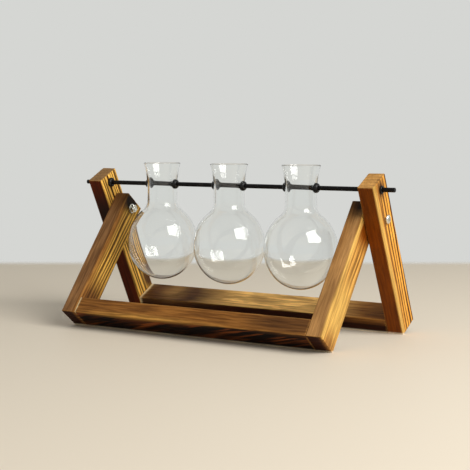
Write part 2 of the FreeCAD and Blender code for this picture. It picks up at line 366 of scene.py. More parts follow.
class NodeTrees:
    """The Geometry Nodes trees that shape the boards and the turned pieces, each built at its first use."""

    seam_distance: float = 1e-6
    helix_steps: int = 24
    ridge_corners: int = 4
    area_scales: Triple = (0.12, 0.12, 0.03)
    area_band: Band = (0.3, 0.7)
    least_brushed: float = 0.5
    crowding: float = 1.5

    @staticmethod
    def start(name: str, inputs: dict[str, str]) -> tuple[Graph, dict[str, Socket], bpy.types.Node]:
        """Starts a tree with one geometry in, one out, and named inputs.

        Args:
            name: The tree's name.
            inputs: Socket types by input name.

        Returns:
            The graph, its input sockets by name, and the output node.
        """
        tree = bpy.data.node_groups.new(name, "GeometryNodeTree")
        tree.interface.new_socket("Geometry", in_out="OUTPUT", socket_type="NodeSocketGeometry")
        tree.interface.new_socket("Geometry", in_out="INPUT", socket_type="NodeSocketGeometry")
        for label, kind in inputs.items():
            tree.interface.new_socket(label, in_out="INPUT", socket_type="NodeSocket" + kind)
        graph = Graph(tree)
        entry = graph.add("NodeGroupInput")
        sockets = {socket.name: socket for socket in entry.outputs if socket.name}
        return graph, sockets, graph.add("NodeGroupOutput")

    @staticmethod
    def end(graph: Graph, shape: Feed, material: Feed, output: bpy.types.Node) -> NodeTree:
        """Ends a tree in real geometry with its material.

        Args:
            graph: The tree's graph.
            shape: The geometry that it made.
            material: The material's socket.
            output: The tree's output node.

        Returns:
            The tree.
        """
        real = graph.call("GeometryNodeRealizeInstances", {0: shape})
        dressed = graph.call("GeometryNodeSetMaterial", {0: real, "Material": material})
        graph.feed(output.inputs[0], dressed)
        return graph.tree

    @cached_property
    def lathe(self) -> NodeTree:
        """The tree that turns a profile about the Z axis, and can leave flats on it as on a nut.

        The profile is the object's own mesh: points in order, with X as radius and Z as height.

        Returns:
            The tree.
        """
        graph, into, output = self.start("lathe", {
            "Points": "Int", "Segments": "Int", "Across Flats": "Float", "Material": "Material"})
        rows = graph.math("ADD", into["Segments"], 1.0)
        grid = graph.call("GeometryNodeMeshGrid", {"Size X": 1.0, "Size Y": 1.0, "Vertices X": into["Points"],
                                                   "Vertices Y": rows}, "Mesh")
        index = graph.call("GeometryNodeInputIndex", {})
        point = graph.math("FLOOR", graph.math("DIVIDE", graph.math("ADD", index, 0.5), rows))
        step = graph.math("SUBTRACT", index, graph.times(point, rows))
        angle = graph.times(graph.math("DIVIDE", step, into["Segments"]), math.tau)
        place = graph.call("GeometryNodeInputPosition", {})
        sampled = graph.call("GeometryNodeSampleIndex", {"Geometry": into["Geometry"], "Value": place,
                                                         "Index": point}, data_type="FLOAT_VECTOR")
        radius, _, height = graph.parts(sampled)
        sixth = math.pi / 3
        within = graph.math("MODULO", graph.math("ADD", angle, sixth / 2), sixth)
        turn = graph.math("SUBTRACT", within, sixth / 2)
        half = graph.times(into["Across Flats"], 0.5)
        radius = graph.math("MINIMUM", radius, graph.math("DIVIDE", half, graph.math("COSINE", turn)))
        ring = graph.joined(graph.times(radius, graph.math("COSINE", angle)),
                            graph.times(radius, graph.math("SINE", angle)), height)
        moved = graph.call("GeometryNodeSetPosition", {"Geometry": grid, "Position": ring})
        closed = graph.call("GeometryNodeMergeByDistance", {"Geometry": moved,
                                                            "Distance": self.seam_distance})
        return self.end(graph, closed, into["Material"], output)

    @cached_property
    def thread(self) -> NodeTree:
        """The tree that winds a screw thread up the Z axis.

        Returns:
            The tree.
        """
        graph, into, output = self.start("thread", {"Radius": "Float", "Pitch": "Float", "Turns": "Float",
                                                    "Ridge": "Float", "Material": "Material"})
        helix = graph.call("GeometryNodeCurveSpiral", {
            "Resolution": self.helix_steps, "Rotations": into["Turns"], "Start Radius": into["Radius"],
            "End Radius": into["Radius"], "Height": graph.times(into["Pitch"], into["Turns"])})
        ridge = graph.call("GeometryNodeCurvePrimitiveCircle", {"Resolution": self.ridge_corners,
                                                                "Radius": into["Ridge"]})
        wound = graph.call("GeometryNodeCurveToMesh", {"Curve": helix, "Profile Curve": ridge,
                                                       "Fill Caps": True})
        return self.end(graph, wound, into["Material"], output)

    @cached_property
    def board(self) -> NodeTree:
        """The tree that makes a board about the origin: a fine block with eased edges and brushed grain.

        The soft early wood is brushed away between the hard late wood's lines, so all relief goes inwards.

        Returns:
            The tree.
        """
        graph, into, output = self.start("brushed board", {
            "Size": "Vector", "Rows X": "Int", "Rows Y": "Int", "Rows Z": "Int", "Easing": "Vector",
            "Grain Across": "Bool", "Relief": "Float", "Pith": "Vector", "Lean": "Vector", "Pitch": "Float",
            "Sway": "Float", "Seed": "Float", "Material": "Material"})
        block = graph.call("GeometryNodeMeshCube", {"Size": into["Size"], "Vertices X": into["Rows X"],
                                                    "Vertices Y": into["Rows Y"],
                                                    "Vertices Z": into["Rows Z"]})
        half = graph.scaled(into["Size"], 0.5)
        place = graph.call("GeometryNodeInputPosition", {})
        share = graph.vector("DIVIDE", place, half)
        crowded = graph.vector("MULTIPLY", half, self.crowded_to_ends(graph, share, into["Grain Across"]))
        block = graph.call("GeometryNodeSetPosition", {"Geometry": block, "Position": crowded})
        core = graph.vector("SUBTRACT", half, into["Easing"])
        inner = graph.vector("MAXIMUM", graph.vector("MINIMUM", place, core), graph.scaled(core, -1.0))
        beyond = graph.vector("DIVIDE", graph.vector("SUBTRACT", place, inner), into["Easing"])
        rounding = graph.vector("MULTIPLY", graph.vector("NORMALIZE", beyond), into["Easing"])
        block = graph.call("GeometryNodeSetPosition", {"Geometry": block,
                                                       "Position": graph.vector("ADD", inner, rounding)})
        grain = graph.scaled(self.along_grain(graph, place, into["Grain Across"]), 1 / MM)
        late = GrowthRings.lines(graph, grain, into["Pith"], into["Lean"], into["Pitch"], into["Sway"],
                                 into["Seed"])
        areas = graph.drawn_noise(grain, self.area_scales)
        brushed = graph.fade(areas, *self.area_band, self.least_brushed, 1.0)
        depth = graph.times(graph.times(graph.math("SUBTRACT", 1.0, late), brushed), into["Relief"])
        normal = graph.call("GeometryNodeInputNormal", {})
        inward = graph.scaled(normal, graph.times(depth, -1.0))
        block = graph.call("GeometryNodeSetPosition", {"Geometry": block, "Offset": inward})
        return self.end(graph, block, into["Material"], output)

    @staticmethod
    def along_grain(graph: Graph, place: Feed, across: Feed) -> Socket:
        """A place as (across, deep, along the grain), for a grain along X or along Z."""
        x, y, z = graph.parts(place)
        return graph.either(across, place, graph.joined(z, y, x))

    def crowded_to_ends(self, graph: Graph, share: Feed, across: Feed) -> Socket:
        """Moves the cross rows of a block towards its ends, where the edges are eased.

        Args:
            graph: The tree's graph.
            share: A point's place as shares of the block's half sizes.
            across: Whether the grain runs along X.

        Returns:
            The new shares.
        """
        x, y, z = graph.parts(share)
        along = []
        for part in (x, z):
            from_end = graph.math("SUBTRACT", 1.0, graph.math("ABSOLUTE", part))
            moved = graph.math("SUBTRACT", 1.0, graph.math("POWER", from_end, self.crowding))
            along.append(graph.times(graph.math("SIGN", part), moved))
        return graph.either(across, graph.joined(x, y, along[1]), graph.joined(along[0], y, z))


@dataclass(frozen=True)
class GrowthRings:
    """The growth rings of one board, about a pith line that runs beside it."""

    pith: Triple
    lean: Triple = (0.0, 0.0, 0.0)
    pitch: float = 2.6
    sway: float = 2.0
    seed: float = 0.0
    wander_scales: ClassVar[Triple] = (0.035, 0.035, 0.014)
    wander_reach: ClassVar[float] = 4.0
    seed_skew: ClassVar[float] = 1.7
    weather_rate: ClassVar[float] = 0.6
    darkening: ClassVar[Band] = (0.36, 0.58)
    paling: ClassVar[Band] = (0.86, 1.0)
    least_vigour: ClassVar[float] = 0.75

    @classmethod
    def lines(cls, graph: Graph, grain: Feed, pith: Feed, lean: Feed, pitch: Feed, sway: Feed,
              seed: Feed) -> Socket:
        """Writes the late wood's lines, the same in a material as in Geometry Nodes.

        Args:
            graph: The tree to write in.
            grain: The place on the board in millimetres: across, deep and along the grain.
            pith: Where the pith line passes the middle of the board, in the same axes.
            lean: How far the pith line moves for each millimetre along the grain.
            pitch: From one year's ring to the next.
            sway: How far the rings wander.
            seed: A number that is the board's own.

        Returns:
            A socket from 0, early wood, to 1, the darkest late wood.
        """
        slow = graph.vector("MULTIPLY", grain, cls.wander_scales)
        shifted = graph.vector("ADD", slow, graph.joined(seed, graph.times(seed, cls.seed_skew), 0.0))
        wander = graph.call("ShaderNodeTexNoise", {"Vector": shifted, "Scale": 1.0, "Detail": 3.0,
                                                   "Roughness": 0.45}, "Color")
        wander = graph.scaled(graph.vector("SUBTRACT", wander, (0.5, 0.5, 0.5)),
                              graph.times(sway, cls.wander_reach))
        leaning = graph.scaled(lean, graph.parts(grain)[2])
        offset = graph.vector("SUBTRACT", graph.vector("SUBTRACT", grain, pith), leaning)
        offset = graph.vector("MULTIPLY", graph.vector("ADD", offset, wander), (1.0, 1.0, 0.0))
        reach = graph.call("ShaderNodeVectorMath", {0: offset}, "Value", operation="LENGTH")
        year = graph.math("DIVIDE", reach, pitch)
        along_years = graph.math("ADD", graph.times(year, cls.weather_rate), seed)
        weather = graph.call("ShaderNodeTexNoise", {"W": along_years, "Scale": 1.0, "Detail": 1.0}, "Fac",
                             noise_dimensions="1D")
        year = graph.math("ADD", year, graph.math("SUBTRACT", weather, 0.5))
        season = graph.math("FRACT", year)
        late = graph.times(graph.fade(season, *cls.darkening), graph.fade(season, *cls.paling, 1.0, 0.0))
        count = graph.math("ADD", graph.math("FLOOR", year), seed)
        vigour = graph.call("ShaderNodeTexWhiteNoise", {"W": count}, "Value", noise_dimensions="1D")
        lively = graph.times(vigour, 1 - cls.least_vigour)
        return graph.times(late, graph.math("ADD", lively, cls.least_vigour))


@dataclass(frozen=True)
class Tone:
    """How strongly a patch of wood is scorched.

    Its colour is the early wood's, contrast is how dark the late wood's lines are on it, and streak how much
    the torch has streaked it along the grain. A contrast below zero is charred wood with pale tongues left.
    """

    colour: Colour
    contrast: float
    streak: float = 0.35


class Scorch(Enum):
    """The tones that the torch and the brush leave on this stand, and two that also carry painted highlights: the
    pale strip at the standing edge and the gold on the right legs' lit front edges.
    """

    BARE = Tone(srgb(255, 234, 186), 0.05, 0.0)
    # Bare wood where the standing edge is planed, made paler as a painted highlight along that edge.
    BARE_SOLE_AND_HIGHLIGHT = Tone(srgb(240, 230, 210), 0.05, 0.1)
    HONEY = Tone(srgb(255, 202, 96), 1.0, 0.25)
    AMBER = Tone(srgb(246, 178, 76), 1.0, 0.25)
    # Gold of less scorched wood; along the right legs' front outer edges it is also a painted highlight.
    GOLD_AND_EDGE_HIGHLIGHT = Tone(srgb(220, 178, 96), 0.18, 0.45)
    END_GRAIN = Tone(srgb(212, 160, 90), 0.22, 0.3)
    GREYED_END = Tone(srgb(158, 122, 78), 0.2, 0.4)
    WAVY_GOLD = Tone(srgb(255, 206, 124), 0.34, 0.6)
    GOLD = Tone(srgb(236, 178, 90), 0.74, 0.3)
    TAN = Tone(srgb(196, 148, 92), 0.25, 0.35)
    GREYED_BROWN = Tone(srgb(153, 112, 72), 0.24, 0.8)
    DULL_STRIPE = Tone(srgb(144, 98, 50), 0.62, 0.5)
    BROWN = Tone(srgb(152, 102, 48), 0.16, 0.7)
    UMBER = Tone(srgb(108, 72, 38), 0.22, 0.6)
    RUSSET = Tone(srgb(132, 66, 2), 0.16, 0.45)
    OXBLOOD = Tone(srgb(96, 34, 2), 0.3, 0.5)
    MAROON = Tone(srgb(52, 17, 1), 0.3, 0.5)
    CHAR = Tone(srgb(34, 22, 14), 0.3, 0.4)
    FLAMED = Tone(srgb(14, 1, 0), -0.75, 0.4)


@dataclass(frozen=True)
class Patch:
    """A soft-edged patch of one tone, in the upright axes of the board's frame."""

    place: Triple
    reach: Triple
    tone: Scorch
    strength: float = 1.0
    fullness: ClassVar[float] = 1.6

    def cover(self, distance: np.ndarray) -> np.ndarray:
        """How much it covers at a distance, as a share of its reach: flat, then a soft edge."""
        inside = np.clip(1 - distance, 0, 1)
        return np.clip(inside * inside * (3 - 2 * inside) * self.fullness * self.strength, 0, 1)


class Side(Enum):
    """The sides of a board in its frame's upright axes."""

    FRONT = (0, -1, 0)
    BACK = (0, 1, 0)
    LEFT = (-1, 0, 0)
    RIGHT = (1, 0, 0)
    TOP = (0, 0, 1)
    BOTTOM = (0, 0, -1)


@dataclass(frozen=True)
class FrameLine:
    """Where a timber frame stands: its tilt about the hinge, and the hinge's place in the upright frame."""

    body: str
    tilt: float
    pivot_height: float
    stock_depth: float = 26.0

    def matrix(self) -> Matrix:
        """How the frame stands.

        Returns:
            From millimetres in the upright frame to metres in the standing vase.
        """
        fold = next(joint for joint in frame["joints"] if joint["name"] == "front_frame_fold")
        pivot = Matrix.Translation(Vector(fold["pos_m"]))
        turn = Matrix.Rotation(math.radians(self.tilt), 4, "X")
        centre = Matrix.Translation(Vector((0, -self.stock_depth / 2, -self.pivot_height)))
        return pivot @ turn @ Matrix.Scale(MM, 4) @ centre


REAR_FRAME = FrameLine("rear_frame", 26.7, 112.1)
FRONT_FRAME = FrameLine("front_frame", -39.094, 126.0)


@dataclass
class Board:
    """One board of the stand, from its lowest to its highest corner in its frame's upright axes."""

    name: str
    line: FrameLine
    low: Triple
    high: Triple
    rings: GrowthRings
    sides: dict[Side, Scorch]
    patches: list[Patch] = field(default_factory=list)
    holes: list[tuple[float, float]] = field(default_factory=list)
    grain_across: bool = False
    relief: float = 0.16
    edge_easing: float = 0.9
    end_easing: float = 0.35
    sole_height: float = 1.2
    wear_reach: float = 1.4
    row_across: float = 0.42
    row_along: float = 1.3
    crease: float = 50.0
    side_focus: float = 3.0
    sole_cover: float = 1.6
    least_weight: float = 1e-4

    def size(self) -> Vector:
        """Its size in millimetres."""
        return Vector(self.high) - Vector(self.low)

    def centre(self) -> Vector:
        """Its middle in the upright axes."""
        return (Vector(self.high) + Vector(self.low)) / 2

    def place(self) -> Matrix:
        """From metres about the board's middle to metres in the standing vase."""
        return self.line.matrix() @ Matrix.Translation(self.centre()) @ Matrix.Scale(1 / MM, 4)

    def make(self, trees: NodeTrees, pine: "ScorchedPine") -> Piece:
        """Builds, places, drills, planes and paints the board.

        Args:
            trees: The Geometry Nodes trees.
            pine: The finish that all the boards share.

        Returns:
            The finished piece.
        """
        size = self.size()
        rows, easing = [self.row_across] * 3, [self.edge_easing] * 3
        along = 0 if self.grain_across else 2
        rows[along], easing[along] = self.row_along, self.end_easing
        counts = [max(2, round(length / row)) + 1 for length, row in zip(size, rows)]
        material = pine.material(self)
        rings = self.rings
        piece = Shapes.seed(self.name + "_board")
        Shapes.grown(piece, trees.board, {
            "Size": list(size * MM), "Rows X": counts[0], "Rows Y": counts[1], "Rows Z": counts[2],
            "Easing": [value * MM for value in easing], "Grain Across": self.grain_across,
            "Relief": self.relief * MM, "Pith": rings.pith, "Lean": rings.lean, "Pitch": rings.pitch,
            "Sway": rings.sway, "Seed": rings.seed, "Material": material})
        piece.data.transform(self.place())
        self.plane_foot(piece)
        if self.holes:
            Shapes.cut(piece, [self.drill(height, radius) for height, radius in self.holes])
        Shapes.outward(piece, self.crease)
        self.paint(piece)
        return Shapes.finished(piece, material, "scorched_pine", self.line.body, self.name)

    def plane_foot(self, piece: Piece) -> None:
        """Planes the standing edge flat on the table.

        Args:
            piece: The board's object.
        """
        places = np.empty(len(piece.data.vertices) * 3, dtype=np.float32)
        piece.data.vertices.foreach_get("co", places)
        places[2::3] = np.maximum(places[2::3], 0.0)
        piece.data.vertices.foreach_set("co", places)

    def drill(self, height: float, radius: float) -> Piece:
        """A drill for a hole through the leg from side to side.

        Args:
            height: How far up the leg the hole is.
            radius: The hole's radius.

        Returns:
            The drill.
        """
        middle = self.centre()
        spot = self.line.matrix() @ Vector((middle.x, self.line.stock_depth / 2, height))
        place = Matrix.Translation(spot) @ Matrix.Scale(MM, 4)
        return Shapes.drill("leg_drill", place, radius, 2 * self.size().x)

    def paint(self, piece: Piece) -> None:
        """Stores each point's tone, contrast, streak and wear, from the sides, the patches and the edges.

        Args:
            piece: The board's object.
        """
        data = piece.data
        count = len(data.vertices)
        places = np.empty(count * 3, dtype=np.float32)
        normals = np.empty(count * 3, dtype=np.float32)
        data.vertices.foreach_get("co", places)
        data.vertices.foreach_get("normal", normals)
        back = np.array(self.line.matrix().inverted())
        heights = places[2::3] / MM
        places = places.reshape(-1, 3) @ back[:3, :3].T + back[:3, 3]
        turned = normals.reshape(-1, 3) @ (back[:3, :3].T * MM)
        weights = np.zeros(count)
        looks = np.zeros((count, 5))
        for side, scorch in self.sides.items():
            weight = np.clip(turned @ np.array(side.value), 0, 1) ** self.side_focus
            looks += weight[:, None] * self.look(scorch)
            weights += weight
        looks /= np.maximum(weights, self.least_weight)[:, None]
        for patch in self.patches:
            distance = np.linalg.norm((places - np.array(patch.place)) / np.array(patch.reach), axis=1)
            looks = self.over(looks, patch.cover(distance), patch.tone)
        # A pale strip along the standing edge: bare planed wood and a painted highlight.
        looks = self.over(looks, np.clip(self.sole_cover - heights / self.sole_height, 0, 1), Scorch.BARE_SOLE_AND_HIGHLIGHT)
        gaps = np.sort(np.minimum(places - np.array(self.low), np.array(self.high) - places), axis=1)
        wear = np.clip(1 - gaps[:, 1] / self.wear_reach, 0, 1)
        store = data.attributes.new("tone", "FLOAT_COLOR", "POINT")
        colours = np.column_stack([looks[:, :3], np.ones(count)])
        store.data.foreach_set("color", colours.astype(np.float32).ravel())
        for name, values in (("contrast", looks[:, 3]), ("streak", looks[:, 4]), ("wear", wear)):
            store = data.attributes.new(name, "FLOAT", "POINT")
            store.data.foreach_set("value", values.astype(np.float32))

    @staticmethod
    def look(scorch: Scorch) -> np.ndarray:
        """A tone as five numbers: red, green, blue, contrast and streak."""
        return np.array([*scorch.value.colour, scorch.value.contrast, scorch.value.streak])

    @staticmethod
    def over(looks: np.ndarray, share: np.ndarray, scorch: Scorch) -> np.ndarray:
        """Lays a tone over what is there, point by point."""
        return looks * (1 - share[:, None]) + share[:, None] * Board.look(scorch)


class Finish:
    """What every finish starts from."""

    @staticmethod
    def begun(name: str) -> tuple[Material, Graph, bpy.types.Node, Socket]:
        """Starts a material.

        Args:
            name: Its name.

        Returns:
            The material, its graph, its shader, and a point's place in the object's own axes.
        """
        material = bpy.data.materials.new(name)
        material.use_nodes = True
        graph = Graph(material.node_tree)
        shader = material.node_tree.nodes["Principled BSDF"]
        return material, graph, shader, graph.call("ShaderNodeTexCoord", {}, "Object")

    @staticmethod
    def dress(graph: Graph, shader: bpy.types.Node, looks: dict[str, Feed]) -> None:
        """Feeds the shader's inputs by their names."""
        for name, value in looks.items():
            graph.feed(shader.inputs[name], value)

    @staticmethod
    def bumped(graph: Graph, height: Feed, strength: float, depth: float) -> Socket:
        """A surface with bumps of so many millimetres."""
        return graph.call("ShaderNodeBump", {"Strength": strength, "Distance": depth * MM, "Height": height})


@dataclass(frozen=True)
class ScorchedPine(Finish):
    """Pine that was torched and wire brushed: early wood in the painted tone, late wood burnt darker."""

    late_tint: Colour = (0.06, 0.025, 0.01)
    char_tint: Colour = (0.42, 0.34, 0.28)
    flame: Colour = srgb(156, 84, 36)
    worn_tint: Colour = srgb(232, 172, 88)
    wear_share: float = 0.35
    roughness: Band = (0.5, 0.72)
    shine: float = 0.12
    bump: float = 0.35
    bump_depth: float = 0.15
    seed_stride: float = 7.0
    fibre_scales: Triple = (3.2, 3.2, 0.09)
    fleck_scales: Triple = (1.1, 1.1, 0.06)
    streak_scales: Triple = (0.55, 0.55, 0.03)
    cloud_scales: Triple = (0.07, 0.07, 0.03)
    fibre_band: Band = (0.25, 0.75)
    rough_band: Band = (0.2, 0.8)
    worn_band: Band = (0.35, 0.6)
    char_band: Band = (0.56, 0.72)
    streak_band: Band = (0.36, 0.62)
    cloud_band: Band = (0.3, 0.7)
    fibre_tints: tuple[Colour, Colour] = ((0.76, 0.74, 0.72), (1.15, 1.14, 1.13))
    streak_tints: tuple[Colour, Colour] = ((0.48, 0.4, 0.34), (1.24, 1.22, 1.16))
    cloud_tints: tuple[Colour, Colour] = ((0.84, 0.81, 0.78), (1.1, 1.09, 1.06))
    tongue_slant: float = 0.34
    glow_scales: Triple = (0.1, 0.1, 0.014)
    stroke_scales: Triple = (0.34, 0.34, 0.03)
    glow_band: Band = (0.5, 0.72)
    stroke_band: Band = (0.5, 0.66)
    stroke_area: Band = (0.36, 0.54)
    glow_share: float = 0.45
    stroke_share: float = 0.75
    fibre_height: float = 0.5
    late_height: float = 0.6

    def material(self, board: Board) -> Material:
        """Writes the material of one board, with its pattern in the board's own axes.

        Args:
            board: The board.

        Returns:
            The material.
        """
        material, graph, shader, here = self.begun("scorched_pine_" + board.name)
        grain = self.along_grain(graph, here, board)
        rings = board.rings
        late = rings.lines(graph, grain, rings.pith, rings.lean, rings.pitch, rings.sway, rings.seed)
        seeded = graph.vector("ADD", grain, (self.seed_stride * rings.seed, 0, 0))
        fibres = graph.drawn_noise(grain, self.fibre_scales, detail=3.0)
        flecks = graph.drawn_noise(seeded, self.fleck_scales)
        streaks = graph.drawn_noise(seeded, self.streak_scales, detail=3.0)
        clouds = graph.drawn_noise(seeded, self.cloud_scales, detail=3.0)
        tone = graph.call("ShaderNodeAttribute", {}, "Color", attribute_name="tone")
        contrast, streak, wear = (graph.call("ShaderNodeAttribute", {}, "Fac", attribute_name=name)
                                  for name in ("contrast", "streak", "wear"))
        cloudy = graph.tinted(tone, graph.fade(clouds, *self.cloud_band), self.cloud_tints)
        streaky = graph.tinted(cloudy, graph.fade(streaks, *self.streak_band), self.streak_tints)
        streaky = graph.blend(streak, cloudy, streaky)
        scraped = graph.times(graph.times(wear, self.wear_share), graph.fade(flecks, *self.worn_band))
        lighter = graph.blend(scraped, streaky, (*self.worn_tint, 1))
        burnt = graph.blend(1.0, lighter, (*self.late_tint, 1), "MULTIPLY")
        lined = graph.blend(graph.times(late, contrast, clamp=True), lighter, burnt)
        tongues = graph.times(self.tongues(graph, seeded), graph.times(contrast, -1.0), clamp=True)
        lined = graph.blend(tongues, lined, (*self.flame, 1))
        fibred = graph.tinted(lined, graph.fade(fibres, *self.fibre_band), self.fibre_tints)
        charred = graph.times(graph.fade(flecks, *self.char_band), graph.math("ABSOLUTE", contrast))
        blackened = graph.blend(1.0, fibred, (*self.char_tint, 1), "MULTIPLY")
        height = graph.math("ADD", graph.times(fibres, self.fibre_height),
                            graph.times(late, self.late_height))
        self.dress(graph, shader, {
            "Base Color": graph.blend(charred, fibred, blackened), "Specular IOR Level": self.shine,
            "Roughness": graph.fade(fibres, *self.rough_band, *self.roughness),
            "Normal": self.bumped(graph, height, self.bump, self.bump_depth)})
        return material

    @staticmethod
    def along_grain(graph: Graph, here: Feed, board: Board) -> Socket:
        """Finds a point's place on a board.

        Args:
            graph: The material's graph.
            here: The point in the object's own axes.
            board: The board.

        Returns:
            The place in millimetres from the board's middle: across, deep and along its grain.
        """
        centred = graph.vector("SUBTRACT", here, tuple(board.place().translation))
        upright = graph.call("ShaderNodeVectorRotate", {"Vector": centred,
                                                        "Angle": -math.radians(board.line.tilt)},
                             rotation_type="X_AXIS")
        upright = graph.scaled(upright, 1 / MM)
        if not board.grain_across:
            return upright
        x, y, z = graph.parts(upright)
        return graph.joined(z, y, x)

    def tongues(self, graph: Graph, grain: Feed) -> Socket:
        """Tongues of wood that the torch has browned but not charred, drawn out askew along the grain.

        Args:
            graph: The material's graph.
            grain: The place on the board: across, deep and along the grain.

        Returns:
            How much of a tongue is there, from 0 to 1.
        """
        across, deep, along = graph.parts(grain)
        slanted = graph.math("ADD", deep, graph.times(along, self.tongue_slant))
        drawn = graph.joined(across, slanted, along)
        broad = graph.drawn_noise(drawn, self.glow_scales, detail=1.5)
        fine = graph.drawn_noise(drawn, self.stroke_scales)
        strokes = graph.times(graph.fade(fine, *self.stroke_band), self.stroke_share)
        glow = graph.times(graph.fade(broad, *self.glow_band), self.glow_share)
        return graph.math("ADD", graph.times(strokes, graph.fade(broad, *self.stroke_area)), glow, clamp=True)


@dataclass(frozen=True)
class BlownGlass(Finish):
    """Clear glass with the slight ripple and the smears of a handled flask."""

    tint: Colour = (0.972, 0.98, 0.973)
    ior: float = 1.47
    ripple: float = 0.002
    ripple_depth: float = 0.4
    ripple_scales: Triple = (50.0, 50.0, 20.0)
    smear_scale: float = 60.0
    smear_band: Band = (0.5, 0.8)
    roughness: Band = (0.0, 0.03)

    def material(self) -> Material:
        """Writes the glass.

        Returns:
            The material.
        """
        material, graph, shader, here = self.begun("clear_glass")
        smears = graph.noise(here, self.smear_scale, detail=4.0)
        waves = graph.drawn_noise(here, self.ripple_scales, detail=1.0)
        self.dress(graph, shader, {
            "Base Color": (*self.tint, 1), "Transmission Weight": 1.0, "IOR": self.ior,
            "Roughness": graph.fade(smears, *self.smear_band, *self.roughness),
            "Normal": self.bumped(graph, waves, self.ripple, self.ripple_depth)})
        return material


@dataclass(frozen=True)
class ZincPlate(Finish):
    """Zinc plating on the hinge hardware: a soft metal shine with a yellowish cast and dull specks."""

    bright: Colour = srgb(236, 236, 230)
    dull: Colour = srgb(186, 182, 166)
    speck_scale: float = 900.0
    turning_scales: Triple = (9000.0, 400.0, 400.0)
    bump: float = 0.12
    bump_depth: float = 0.02
    dull_band: Band = (0.35, 0.7)
    rough_band: Band = (0.3, 0.7)
    roughness: Band = (0.16, 0.34)

    def material(self) -> Material:
        """Writes the plated steel.

        Returns:
            The material.
        """
        material, graph, shader, here = self.begun("zinc_plated_steel")
        specks = graph.noise(here, self.speck_scale, detail=3.0)
        turning = graph.drawn_noise(here, self.turning_scales)
        self.dress(graph, shader, {
            "Base Color": graph.two_tone(graph.fade(specks, *self.dull_band), self.bright, self.dull),
            "Metallic": 1.0, "Roughness": graph.fade(specks, *self.rough_band, *self.roughness),
            "Normal": self.bumped(graph, turning, self.bump, self.bump_depth)})
        return material


@dataclass(frozen=True)
class BlackCoating(Finish):
    """Satin black on the rod, drawn along its length, with hair-fine rubs."""

    colour: Colour = (0.004, 0.003, 0.003)
    rubbed: Colour = (0.018, 0.015, 0.014)
    drawn_scales: Triple = (30.0, 2500.0, 2500.0)
    rub_scale: float = 120.0
    bump: float = 0.15
    bump_depth: float = 0.01
    rub_band: Band = (0.58, 0.75)
    rough_band: Band = (0.3, 0.7)
    roughness: Band = (0.26, 0.4)
    shine: float = 0.12

    def material(self) -> Material:
        """Writes the coated steel.

        Returns:
            The material.
        """
        material, graph, shader, here = self.begun("black_rod")
        drawn = graph.drawn_noise(here, self.drawn_scales, detail=3.0)
        rubs = graph.fade(graph.noise(here, self.rub_scale, detail=4.0), *self.rub_band)
        self.dress(graph, shader, {
            "Base Color": graph.two_tone(rubs, self.colour, self.rubbed), "Specular IOR Level": self.shine,
            "Roughness": graph.fade(drawn, *self.rough_band, *self.roughness),
            "Normal": self.bumped(graph, drawn, self.bump, self.bump_depth)})
        return material


@dataclass(frozen=True)
class BlackRubber(Finish):
    """Moulded rubber, matt with a faint bloom."""

    colour: Colour = (0.003, 0.003, 0.003)
    bloom: Colour = (0.013, 0.012, 0.012)
    dust_scale: float = 700.0
    bump: float = 0.2
    bump_depth: float = 0.02
    bloom_band: Band = (0.45, 0.75)
    rough_band: Band = (0.3, 0.7)
    roughness: Band = (0.28, 0.42)
    shine: float = 0.25

    def material(self) -> Material:
        """Writes the rubber.

        Returns:
            The material.
        """
        material, graph, shader, here = self.begun("black_rubber")
        dust = graph.noise(here, self.dust_scale, detail=4.0)
        self.dress(graph, shader, {
            "Base Color": graph.two_tone(graph.fade(dust, *self.bloom_band), self.colour, self.bloom),
            "Roughness": graph.fade(dust, *self.rough_band, *self.roughness),
            "Specular IOR Level": self.shine,
            "Normal": self.bumped(graph, dust, self.bump, self.bump_depth)})
        return material


@dataclass(frozen=True)
class TurnedBeech(Finish):
    """The dowels' pale close-grained wood."""

    light: Colour = srgb(214, 178, 132)
    dark: Colour = srgb(186, 146, 100)
    grain_scales: Triple = (60.0, 1400.0, 1400.0)
    rough_band: Band = (0.2, 0.8)
    roughness: Band = (0.5, 0.7)

    def material(self) -> Material:
        """Writes the beech.

        Returns:
            The material.
        """
        material, graph, shader, here = self.begun("dowel_wood")
        grain = graph.drawn_noise(here, self.grain_scales, detail=3.0)
        self.dress(graph, shader, {"Base Color": graph.two_tone(grain, self.light, self.dark),
                                   "Roughness": graph.fade(grain, *self.rough_band, *self.roughness)})
        return material


